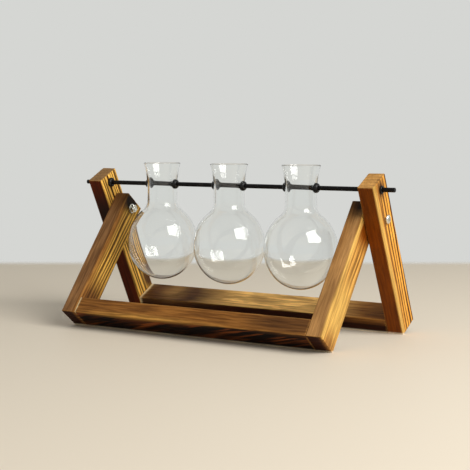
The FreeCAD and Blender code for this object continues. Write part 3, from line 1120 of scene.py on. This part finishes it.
@dataclass
class Stand:
    """The two timber frames of the stand, with the stock's sizes and where each frame's legs stand."""

    rear_inner: float = 135.0
    rear_outer: float = 150.0
    front_outer: float = 134.4
    front_inner: float = 119.4
    depth: float = 26.0
    rear_leg: float = 149.5
    front_leg: float = 135.2
    rear_rail: float = 15.4
    front_rail: float = 16.0
    rod_height: float = 140.9
    rod_hole: float = 2.06
    bolt_hole: float = 2.08
    far: float = 500.0

    def legs(self) -> list[Board]:
        """The four legs, each with its own grain and its own scorching.

        Returns:
            The boards.
        """
        rear_holes = [(self.rod_height, self.rod_hole), (REAR_FRAME.pivot_height, self.bolt_hole)]
        front_holes = [(FRONT_FRAME.pivot_height, self.bolt_hole)]
        deep, middle, far = self.depth, self.depth / 2, self.far
        rear_out, rear_in = self.rear_outer, self.rear_inner
        front_out, front_in = self.front_outer, self.front_inner
        return [
            Board("rear_right_leg", REAR_FRAME, (rear_in, 0, 0), (rear_out, deep, self.rear_leg),
                  GrowthRings((4.0, -46.0, 0.0), (0.01, 0.03, 0.0), 4.7, 1.3, 3.1),
                  {Side.FRONT: Scorch.RUSSET, Side.BACK: Scorch.BROWN, Side.LEFT: Scorch.GOLD,
                   Side.RIGHT: Scorch.AMBER, Side.TOP: Scorch.END_GRAIN, Side.BOTTOM: Scorch.MAROON},
                  [Patch((rear_out, middle, 142), (4, 15, 16), Scorch.DULL_STRIPE, 0.7),
                   Patch((rear_out, middle, self.rod_height), (4, 7, 7), Scorch.CHAR, 0.7),
                   Patch((rear_out, 7.4, 90), (1.8, 2.4, 130), Scorch.BROWN, 0.8),
                   # A gold band along the front outer edge: less scorched wood, with a painted highlight on this
                   # lit edge.
                   Patch((rear_out, 2.1, 75), (1.9, 4.6, far), Scorch.GOLD_AND_EDGE_HIGHLIGHT)],
                  rear_holes),
            Board("rear_left_leg", REAR_FRAME, (-rear_out, 0, 0), (-rear_in, deep, self.rear_leg),
                  GrowthRings((-3.0, 52.0, 0.0), (0.0, -0.02, 0.0), 3.9, 1.0, 7.7),
                  {Side.FRONT: Scorch.OXBLOOD, Side.BACK: Scorch.BROWN, Side.LEFT: Scorch.GOLD,
                   Side.RIGHT: Scorch.HONEY, Side.TOP: Scorch.GREYED_END, Side.BOTTOM: Scorch.MAROON},
                  [Patch((-rear_in, 23, 28), (5, 13, 24), Scorch.UMBER, 0.9),
                   Patch((-142, 0, 110), (20, 5, 40), Scorch.CHAR, 0.6)],
                  rear_holes),
            Board("front_left_leg", FRONT_FRAME, (-front_out, 0, 0), (-front_in, deep, self.front_leg),
                  GrowthRings((6.0, -40.0, 0.0), (0.0, 0.03, 0.0), 3.9, 1.0, 21.9),
                  {Side.FRONT: Scorch.GREYED_BROWN, Side.BACK: Scorch.UMBER, Side.LEFT: Scorch.TAN,
                   Side.RIGHT: Scorch.HONEY, Side.TOP: Scorch.BROWN, Side.BOTTOM: Scorch.MAROON},
                  [Patch((-127, 0, 132), (20, 8, 36), Scorch.UMBER, 0.3),
                   Patch((-front_in, middle, 4), (5, 60, 62), Scorch.DULL_STRIPE, 0.9),
                   Patch((-front_in, 1, 90), (3, 9, 130), Scorch.BROWN, 0.7),
                   Patch((-front_in, 9, 131), (5, 20, 20), Scorch.CHAR, 0.85)],
                  front_holes),
            Board("front_right_leg", FRONT_FRAME, (front_in, 0, 0), (front_out, deep, self.front_leg),
                  GrowthRings((-5.0, -48.0, 0.0), (0.01, -0.03, 0.0), 5.2, 1.8, 33.3),
                  {Side.FRONT: Scorch.TAN, Side.BACK: Scorch.UMBER, Side.LEFT: Scorch.BROWN,
                   Side.RIGHT: Scorch.GOLD, Side.TOP: Scorch.BROWN, Side.BOTTOM: Scorch.MAROON},
                  [Patch((127, 0, 134), (20, 8, 26), Scorch.CHAR, 0.75),
                   Patch((front_out, middle, 112), (4, 30, 30), Scorch.RUSSET, 0.7),
                   Patch((front_out, middle, 30), (4, 30, 56), Scorch.GOLD_AND_EDGE_HIGHLIGHT, 0.75),
                   Patch((front_out, middle, 0), (6, 30, 20), Scorch.BROWN, 0.5),
                   Patch((121, 0, 104), (9, 6, 60), Scorch.BROWN, 0.35),
                   # A gold band along the front outer edge: less scorched wood, with a painted highlight on this
                   # lit edge.
                   Patch((front_out, 1.8, 66), (2.2, 4.2, far), Scorch.GOLD_AND_EDGE_HIGHLIGHT)],
                  front_holes),
        ]

    def rails(self) -> list[Board]:
        """The two rails, whose grain runs across the stand.

        Returns:
            The boards.
        """
        deep, middle = self.depth, self.depth / 2
        rear_in, front_in, rear_top = self.rear_inner, self.front_inner, self.rear_rail
        return [
            Board("rear_rail", REAR_FRAME, (-rear_in, 0, 0), (rear_in, deep, rear_top),
                  GrowthRings((-44.0, 6.0, 0.0), (-0.03, 0.012, 0.0), 2.4, 3.4, 12.3),
                  {Side.FRONT: Scorch.MAROON, Side.BACK: Scorch.BROWN, Side.LEFT: Scorch.BARE,
                   Side.RIGHT: Scorch.UMBER, Side.TOP: Scorch.WAVY_GOLD, Side.BOTTOM: Scorch.UMBER},
                  [Patch((-100, middle, rear_top), (90, 60, 9), Scorch.UMBER, 0.8),
                   Patch((128, middle, rear_top), (86, 60, 9), Scorch.BROWN, 0.72),
                   Patch((128, 20, rear_top), (22, 16, 8), Scorch.UMBER, 0.3),
                   Patch((-74, middle, rear_top), (34, 60, 9), Scorch.CHAR, 0.2),
                   # A faint lighter spot on the left of the top: a painted highlight.
                   Patch((-100, 15, rear_top), (22, 24, 9), Scorch.WAVY_GOLD, 0.12),
                   Patch((-rear_in, middle, rear_top), (4.8, 90, 12), Scorch.BARE)],
                  grain_across=True),
            Board("front_rail", FRONT_FRAME, (-front_in, 0, 0), (front_in, deep, self.front_rail),
                  GrowthRings((38.0, 10.0, 0.0), (0.03, -0.02, 0.0), 3.0, 3.6, 41.7),
                  {Side.FRONT: Scorch.BROWN, Side.BACK: Scorch.UMBER, Side.LEFT: Scorch.BARE,
                   Side.RIGHT: Scorch.UMBER, Side.TOP: Scorch.UMBER, Side.BOTTOM: Scorch.FLAMED},
                  [Patch((-44, 0, 1.2), (100, 6, 5), Scorch.GOLD, 0.42),
                   Patch((104, 0, 9), (70, 7, 16), Scorch.UMBER, 0.8),
                   Patch((-front_in, 0, self.front_rail), (2.4, 7, 40), Scorch.BARE)],
                  grain_across=True),
        ]

    def make(self, trees: NodeTrees) -> list[Piece]:
        """Makes every board of the stand in one finish."""
        pine = ScorchedPine()
        return [board.make(trees, pine) for board in self.legs() + self.rails()]


def arc(centre: tuple[float, float], radius: float, start: float, stop: float, steps: int) -> Profile:
    """Points of a round stretch of a profile.

    Args:
        centre: Its centre, as radius and height.
        radius: Its own radius.
        start: The first angle in degrees, counted from the outward direction upwards.
        stop: The last angle.
        steps: How many chords it has.

    Returns:
        The points, both ends included.
    """
    angles = [math.radians(start + (stop - start) * k / steps) for k in range(steps + 1)]
    return [(centre[0] + radius * math.cos(angle), centre[1] + radius * math.sin(angle)) for angle in angles]


def turned_piece(name: str, profile: Profile, trees: NodeTrees, segments: int, place: Matrix,
                 material: Material, across_flats: float = NO_FLATS) -> Piece:
    """Turns a profile on the lathe tree and puts the piece in its place.

    Args:
        name: The piece's name.
        profile: Radius and height of its outline in millimetres, in order. A closed one repeats its
            first point.
        trees: The Geometry Nodes trees.
        segments: How many facets go round.
        place: From millimetres about the Z axis to metres in the standing vase.
        material: Its material.
        across_flats: The distance between its flats, where it has six.

    Returns:
        The piece.
    """
    points = [(radius, 0, height) for radius, height in profile]
    piece = Shapes.mesh(name, points)
    Shapes.grown(piece, trees.lathe, {"Points": len(points), "Segments": segments,
                                      "Across Flats": across_flats, "Material": material})
    piece.data.transform(place)
    return piece


@dataclass
class Flask:
    """One blown flask: a bulb a little taller than wide, a neck with two holes, and a fire-polished rim."""

    name: str
    middle_x: float
    neck_wall: float = 1.8
    bulb_wall: float = 1.1
    rim_wall: float = 0.9
    bore_lean: float = 12.6
    bulb_radius: float = 33.0
    bulb_drop: float = 57.0
    bulb_stretch: float = 1.083
    neck_radius: float = 14.1
    shoulder_radius: float = 10.0
    flare_drop: float = 4.0
    rim_rise: float = 19.2
    rim_radius: float = 17.2
    hole_radius: float = 3.4
    segments: int = 144
    profile_steps: int = 24
    lip_points: int = 13
    crease: float = 40.0

    def face(self, neck_inset: float, bulb_inset: float, rim_inset: float, steps: int) -> Profile:
        """Draws one face of the glass, from its bottom to its rim.

        Args:
            neck_inset: How far inside the outer face it lies along the neck.
            bulb_inset: The same for the bulb.
            rim_inset: The same for the rim, zero for the outer face itself.
            steps: Half as many chords as the bulb's outline has, and twice as many as the shoulder's.

        Returns:
            Its points, as radius and height from the rod.
        """
        neck_radius, bulb_radius = self.neck_radius - neck_inset, self.bulb_radius - bulb_inset
        bend = self.shoulder_radius + (neck_inset + bulb_inset) / 2
        bend_x = neck_radius + bend
        bend_z = -self.bulb_drop + math.sqrt((bulb_radius + bend) ** 2 - bend_x ** 2)
        meeting = math.degrees(math.atan2(bend_z + self.bulb_drop, bend_x))
        rise, spread = self.rim_rise + self.flare_drop, self.rim_radius - rim_inset - neck_radius
        lean = math.radians(self.bore_lean) if rim_inset else 2 * math.atan(spread / rise)
        flare = (rise * math.tan(lean) - spread) / (math.sin(lean) * math.tan(lean) - 1 + math.cos(lean))
        bulb = arc((0, -self.bulb_drop), bulb_radius, -90, meeting, 2 * steps)
        shoulder = arc((bend_x, bend_z), bend, 180 + meeting, 180, steps // 2)
        foot = -self.bulb_drop - bulb_radius
        body = [(reach, foot + (height - foot) * self.bulb_stretch) for reach, height in bulb + shoulder[1:]]
        neck = arc((neck_radius + flare, -self.flare_drop), flare, 180, 180 - math.degrees(lean), steps // 2)
        if rim_inset:
            neck.append((neck_radius + spread, self.rim_rise))
        return body + neck

    def make(self, trees: NodeTrees, glass: Material, rod_axis: Vector) -> Piece:
        """Blows the flask, drills its neck and hangs it on the rod.

        Args:
            trees: The Geometry Nodes trees.
            glass: Its material.
            rod_axis: A point of the rod's axis in metres.

        Returns:
            The finished piece.
        """
        outer = self.face(0.0, 0.0, 0.0, self.profile_steps)
        inner = self.face(self.neck_wall, self.bulb_wall, self.rim_wall, self.profile_steps)
        lip_out, lip_in = Vector(outer[-1]), Vector(inner[-1])
        middle, across = (lip_out + lip_in) / 2, (lip_out - lip_in) / 2
        up = Vector((-across.y, across.x))
        turns = np.linspace(0, math.pi, self.lip_points)
        lip = [middle + across * math.cos(turn) + up * math.sin(turn) for turn in turns]
        profile = outer + [tuple(point) for point in lip[1:-1]] + inner[::-1]
        place = Matrix.Translation(rod_axis + Vector((self.middle_x * MM, 0, 0))) @ Matrix.Scale(MM, 4)
        piece = turned_piece(self.name + "_blown", profile, trees, self.segments, place, glass)
        tool = Shapes.drill("neck_drill", place, self.hole_radius, 4 * self.rim_radius)
        Shapes.cut(Shapes.outward(piece), [tool])
        Shapes.outward(piece, self.crease)
        return Shapes.finished(piece, glass, "clear_glass", self.name, self.name)


@dataclass
class Hinge:
    """The bolt, washer and nut of one side, on the hinge's axis."""

    side: int
    axis: Vector
    trees: NodeTrees
    zinc: Material
    bolt_radius: float = 2.0
    core_radius: float = 1.72
    thread_pitch: float = 0.7
    head_face: float = 150.0
    head_radius: float = 4.0
    head_height: float = 2.9
    head_side: float = 1.3
    shank: float = 35.0
    recess_length: float = 4.4
    recess_width: float = 0.95
    recess_depth: float = 1.6
    leg_face: float = 119.4
    washer_radius: float = 4.5
    washer_thickness: float = 0.8
    washer_bore: float = 2.15
    nut_flats: float = 7.0
    nut_thickness: float = 3.2
    nut_chamfer: float = 0.5
    nut_clearance: float = 0.05
    bore_chamfer: float = 0.35
    chamfer_slope: float = 1.4
    thread_turns: float = 9.0
    ridge_turns: float = 8.6
    ridge_start: float = 0.15
    tip_width: float = 0.2
    tip_height: float = 0.3
    runout: float = 0.5
    recess_narrow_share: float = 0.55
    overrun: float = 1.0
    easing: float = 0.12
    dome_points: int = 13
    bolt_segments: int = 48
    washer_segments: int = 64
    nut_segments: int = 96
    bolt_crease: float = 35.0
    washer_crease: float = 30.0
    nut_crease: float = 20.0

    def label(self, part: str) -> str:
        """The CAD node's name of a part on this side."""
        return ("right" if self.side > 0 else "left") + "_hinge_" + part

    def outward_from(self, face: float) -> Matrix:
        """Says where a piece goes that is turned about Z with its seat at zero.

        Args:
            face: How far from the stand's middle it seats, in millimetres.

        Returns:
            From millimetres about Z to metres about the hinge's axis, +Z away from the stand's middle.
        """
        turn = Matrix.Rotation(math.radians(90 * self.side), 4, "Y")
        place = Matrix.Translation(self.axis + Vector((self.side * face * MM, 0, 0)))
        return place @ turn @ Matrix.Scale(MM, 4)

    def make(self) -> list[Piece]:
        """Makes the three pieces.

        Returns:
            The bolt, the washer and the nut.
        """
        parts = {"bolt": self.bolt(), "washer": self.washer(), "nut": self.nut()}
        return [Shapes.finished(piece, self.zinc, "zinc_plated_steel", "rear_frame", self.label(part))
                for part, piece in parts.items()]

    def turned(self, name: str, profile: Profile, segments: int, face: float,
               across_flats: float = NO_FLATS) -> Piece:
        """Turns one of the pieces about the hinge's axis, seated so far from the stand's middle."""
        return turned_piece(self.label(name), profile, self.trees, segments, self.outward_from(face),
                            self.zinc, across_flats)

    def bolt(self) -> Piece:
        """Makes the pan head screw, with a cross recess and a thread at its end.

        Returns:
            The bolt.
        """
        place = self.outward_from(self.head_face)
        low, crown = -self.shank, self.head_height - self.head_side
        dome = [(self.head_radius * math.cos(turn), self.head_side + crown * math.sin(turn))
                for turn in np.linspace(0, math.pi / 2, self.dome_points)]
        thread_top = low + self.thread_turns * self.thread_pitch
        profile = [(0, low), (self.core_radius - self.tip_width, low),
                   (self.core_radius, low + self.tip_height), (self.core_radius, thread_top),
                   (self.bolt_radius, thread_top + self.runout), (self.bolt_radius, 0),
                   (self.head_radius - self.easing, 0), (self.head_radius, self.easing)] + dome
        bolt = self.turned("bolt_threaded", profile, self.bolt_segments, self.head_face)
        Shapes.cut(Shapes.outward(bolt), [self.driver(place)])
        thread = Shapes.seed("thread")
        ridge = self.bolt_radius - self.core_radius
        Shapes.grown(thread, self.trees.thread, {
            "Radius": self.core_radius * MM, "Pitch": self.thread_pitch * MM, "Turns": self.ridge_turns,
            "Ridge": ridge * MM, "Material": self.zinc})
        lift = Matrix.Translation((0, 0, low + self.ridge_start))
        thread.data.transform(place @ lift @ Matrix.Scale(1 / MM, 4))
        return Shapes.outward(Shapes.joined(bolt, thread), self.bolt_crease)

    def driver(self, place: Matrix) -> Piece:
        """Makes the cross-shaped tool that presses the recess, narrower at its bottom.

        Args:
            place: From millimetres about the bolt to metres in the standing vase.

        Returns:
            The tool.
        """
        arm, half = self.recess_length / 2, self.recess_width / 2
        bottom, top = self.head_height - self.recess_depth, self.head_height + self.overrun
        cross = [(half, half), (half, arm), (-half, arm), (-half, half), (-arm, half), (-arm, -half),
                 (-half, -half), (-half, -arm), (half, -arm), (half, -half), (arm, -half), (arm, half)]
        narrow = self.recess_narrow_share
        points = [(x * narrow, y * narrow, bottom) for x, y in cross] + [(x, y, top) for x, y in cross]
        count = len(cross)
        faces = [[k, (k + 1) % count, (k + 1) % count + count, k + count] for k in range(count)]
        faces += [list(range(count))[::-1], list(range(count, 2 * count))]
        return Shapes.outward(Shapes.mesh("driver", [place @ Vector(point) for point in points], faces))

    def washer(self) -> Piece:
        """Makes the flat ring with rounded edges on the front leg's inner face.

        Returns:
            The washer.
        """
        ease, low = self.easing, -self.washer_thickness
        edge, bore = self.washer_radius, self.washer_bore
        profile = [(bore, low + ease), (bore + ease, low), (edge - ease, low), (edge, low + ease),
                   (edge, -ease), (edge - ease, 0), (bore + ease, 0), (bore, -ease)]
        piece = self.turned("washer_flat", profile + profile[:1], self.washer_segments, self.leg_face)
        return Shapes.outward(piece, self.washer_crease)

    def nut(self) -> Piece:
        """Makes the hexagon nut with turned chamfers on the bolt's end.

        Returns:
            The nut.
        """
        low, chamfer, mouth = -self.nut_thickness, self.nut_chamfer, self.bore_chamfer
        corner, bore = self.nut_flats / math.sqrt(3), self.bolt_radius + self.nut_clearance
        crest = corner - chamfer * self.chamfer_slope
        profile = [(bore, low + mouth), (bore + mouth, low), (crest, low), (corner, low + chamfer),
                   (corner, -chamfer), (crest, 0), (bore + mouth, 0), (bore, -mouth)]
        piece = self.turned("nut_hex", profile + profile[:1], self.nut_segments,
                            self.leg_face - self.washer_thickness, self.nut_flats)
        return Shapes.outward(piece, self.nut_crease)


@dataclass
class Grommet:
    """A rubber bush on the rod in one hole of a neck: a domed flange outside, a slim sleeve end inside."""

    flask: str
    side: int
    middle_x: float
    sleeve_radius: float = 2.3
    outside: float = 12.8
    inside: float = 8.0
    clear_radius: float = 7.0
    segments: int = 48
    crease: float = 35.0

    def make(self, trees: NodeTrees, rubber: Material, rod_axis: Vector) -> Piece:
        """Takes the bush as the frame has it and turns its inner end down.

        Args:
            trees: The Geometry Nodes trees.
            rubber: Its material.
            rod_axis: A point of the rod's axis in metres.

        Returns:
            The finished piece.
        """
        node = self.flask + ("_right" if self.side > 0 else "_left") + "_grommet"
        piece = Shapes.seed(node + "_bush")
        piece.data = frame["nodes"][node].data.copy()
        ring = [(self.sleeve_radius, self.inside), (self.clear_radius, self.inside),
                (self.clear_radius, self.outside), (self.sleeve_radius, self.outside)]
        turn = Matrix.Rotation(math.radians(90 * self.side), 4, "Y")
        place = Matrix.Translation(rod_axis + Vector((self.middle_x * MM, 0, 0))) @ turn @ Matrix.Scale(MM, 4)
        tool = turned_piece("lathe_cut", ring + ring[:1], trees, self.segments, place, rubber)
        Shapes.cut(Shapes.outward(piece), [Shapes.outward(tool)])
        Shapes.outward(piece, self.crease)
        return Shapes.finished(piece, rubber, "black_rubber", self.flask, node)


@dataclass
class FlaskSet:
    """The three flasks on the rod, each with its two grommets."""

    pitch: float = 74.0
    names: tuple[str, ...] = ("left_flask", "middle_flask", "right_flask")

    def make(self, trees: NodeTrees, rod_axis: Vector) -> list[Piece]:
        """Makes the flasks and the grommets in their necks.

        Args:
            trees: The Geometry Nodes trees.
            rod_axis: A point of the rod's axis in metres.

        Returns:
            The finished pieces.
        """
        glass, rubber = BlownGlass().material(), BlackRubber().material()
        pieces = []
        for number, name in enumerate(self.names):
            middle_x = (number - 1) * self.pitch
            pieces.append(Flask(name, middle_x).make(trees, glass, rod_axis))
            pieces += [Grommet(name, side, middle_x).make(trees, rubber, rod_axis) for side in (-1, 1)]
        return pieces


@dataclass
class PlainParts:
    """The parts whose shape in the frame is right as it is: the rod, its stops and the dowels."""

    made_elsewhere: str = "grommet"

    def dress(self) -> list[Piece]:
        """Gives each of them its finish.

        Returns:
            The dressed nodes.
        """
        finishes = {"black_rod": BlackCoating().material(), "black_rubber": BlackRubber().material(),
                    "dowel_wood": TurnedBeech().material()}
        dressed = []
        for part in frame["record"]["subparts"]:
            name, slot = part["node"], part["material_slot"]
            if slot not in finishes or name.endswith(self.made_elsewhere):
                continue
            piece = frame["nodes"][name]
            piece.data.materials.clear()
            piece.data.materials.append(finishes[slot])
            dressed.append(piece)
        return dressed


@dataclass
class Studio:
    """The floor, the background, the lamp and the camera, with places in millimetres."""

    camera_place: Triple = (549.35, -886.87, 178.57)
    camera_yaw: float = 31.455
    camera_pitch: float = 5.078
    camera_lens: float = 88.1
    camera_reach: Band = (50.0, 20000.0)
    floor_half: float = 560.0
    floor_fade: float = 60.0
    floor_colour: Colour = srgb(231, 219, 200)
    floor_roughness: float = 0.6
    floor_shine: float = 0.2
    wall_colour: Colour = srgb(213, 214, 211)
    room_light: float = 0.5
    lamp_place: Triple = (1247.8, -197.6, 882.6)
    lamp_aim: Triple = (0.0, 0.0, 74.0)
    lamp_size: tuple[float, float] = (1239.0, 792.0)
    lamp_roll: float = -9.0
    lamp_power: float = 24.0
    lamp_colour: Colour = (1.0, 0.985, 0.96)

    def background_strength(self, graph: Graph, lit: float) -> Socket:
        """How bright the background is for each kind of ray.

        Args:
            graph: The world's graph.
            lit: How strongly it lights the vase.

        Returns:
            One where the camera, metal or glass sees the background, and the light's strength elsewhere.
        """
        path = graph.add("ShaderNodeLightPath")
        seen = graph.math("MAXIMUM", path.outputs["Is Camera Ray"], path.outputs["Is Glossy Ray"])
        seen = graph.math("MAXIMUM", seen, path.outputs["Is Transmission Ray"])
        return graph.fade(seen, 0.0, 1.0, lit, 1.0)

    def world(self) -> None:
        """Pale grey all round."""
        world = bpy.data.worlds.new("pale room")
        bpy.context.scene.world = world
        world.use_nodes = True
        graph = Graph(world.node_tree)
        back = world.node_tree.nodes["Background"]
        back.inputs["Color"].default_value = (*self.wall_colour, 1)
        graph.feed(back.inputs["Strength"], self.background_strength(graph, self.room_light))

    def floor(self) -> Piece:
        """Makes a plain pale table top whose edges fade into the background.

        Returns:
            The floor.
        """
        half = self.floor_half * MM
        floor = Shapes.mesh("floor", [(-half, -half, 0), (half, -half, 0), (half, half, 0), (-half, half, 0)],
                            [[0, 1, 2, 3]])
        floor.data.transform(Matrix.Rotation(math.radians(self.camera_yaw), 4, "Z"))
        material, graph, shader, here = Finish.begun("pale floor")
        Finish.dress(graph, shader, {"Base Color": (*self.floor_colour, 1), "Roughness": self.floor_roughness,
                                     "Specular IOR Level": self.floor_shine})
        turned = graph.call("ShaderNodeVectorRotate",
                            {"Vector": here, "Angle": -math.radians(self.camera_yaw)},
                            rotation_type="Z_AXIS")
        x, y, _ = graph.parts(graph.vector("ABSOLUTE", turned))
        fade = graph.fade(graph.math("MAXIMUM", x, y), half, half - self.floor_fade * MM)
        clear = graph.call("ShaderNodeBsdfTransparent", {})
        soft = graph.call("ShaderNodeMixShader", {0: fade, 1: clear, 2: shader.outputs[0]})
        graph.feed(material.node_tree.nodes["Material Output"].inputs["Surface"], soft)
        floor.data.materials.append(material)
        return floor

    def lamp(self) -> Piece:
        """Makes a soft rectangular lamp up on the right, turned so that it stands upright in the glass.

        Returns:
            The lamp.
        """
        data = bpy.data.lights.new("soft lamp", "AREA")
        data.shape = "RECTANGLE"
        data.size, data.size_y = self.lamp_size[0] * MM, self.lamp_size[1] * MM
        data.energy = self.lamp_power
        data.color = self.lamp_colour
        lamp = bpy.data.objects.new("soft lamp", data)
        bpy.context.scene.collection.objects.link(lamp)
        place, aim = Vector(self.lamp_place), Vector(self.lamp_aim)
        lamp.location = place * MM
        roll = Quaternion((0, 0, 1), math.radians(self.lamp_roll))
        lamp.rotation_euler = ((aim - place).to_track_quat("-Z", "Y") @ roll).to_euler()
        return lamp

    def camera(self) -> None:
        """The camera at the photographed viewpoint."""
        data = bpy.data.cameras.new("camera")
        data.lens = self.camera_lens
        data.clip_start, data.clip_end = self.camera_reach[0] * MM, self.camera_reach[1] * MM
        camera = bpy.data.objects.new("camera", data)
        bpy.context.scene.collection.objects.link(camera)
        camera.location = Vector(self.camera_place) * MM
        camera.rotation_euler = (math.radians(90 - self.camera_pitch), 0, math.radians(self.camera_yaw))
        bpy.context.scene.camera = camera

    def make(self) -> None:
        """Sets up all of it."""
        self.world()
        self.floor()
        self.lamp()
        self.camera()


def report(pieces: list[Piece]) -> None:
    """Logs each of some finished pieces."""
    for piece in pieces:
        log.info("%s: %d faces", piece.name, len(piece.data.polygons))


def main() -> None:
    """Builds the vase's looks piece by piece and reports them."""
    logging.basicConfig(level=logging.INFO, format="%(name)s: %(message)s")
    bpy.context.scene.view_settings.view_transform = "Standard"
    joints = {joint["name"]: Vector(joint["pos_m"]) for joint in frame["joints"]}
    trees = NodeTrees()
    report(Stand().make(trees))
    zinc = ZincPlate().material()
    for side in (-1, 1):
        report(Hinge(side, joints["front_frame_fold"], trees, zinc).make())
    report(FlaskSet().make(trees, joints["rod_spin"]))
    report(PlainParts().dress())
    Studio().make()


if __name__ == "__main__":
    main()
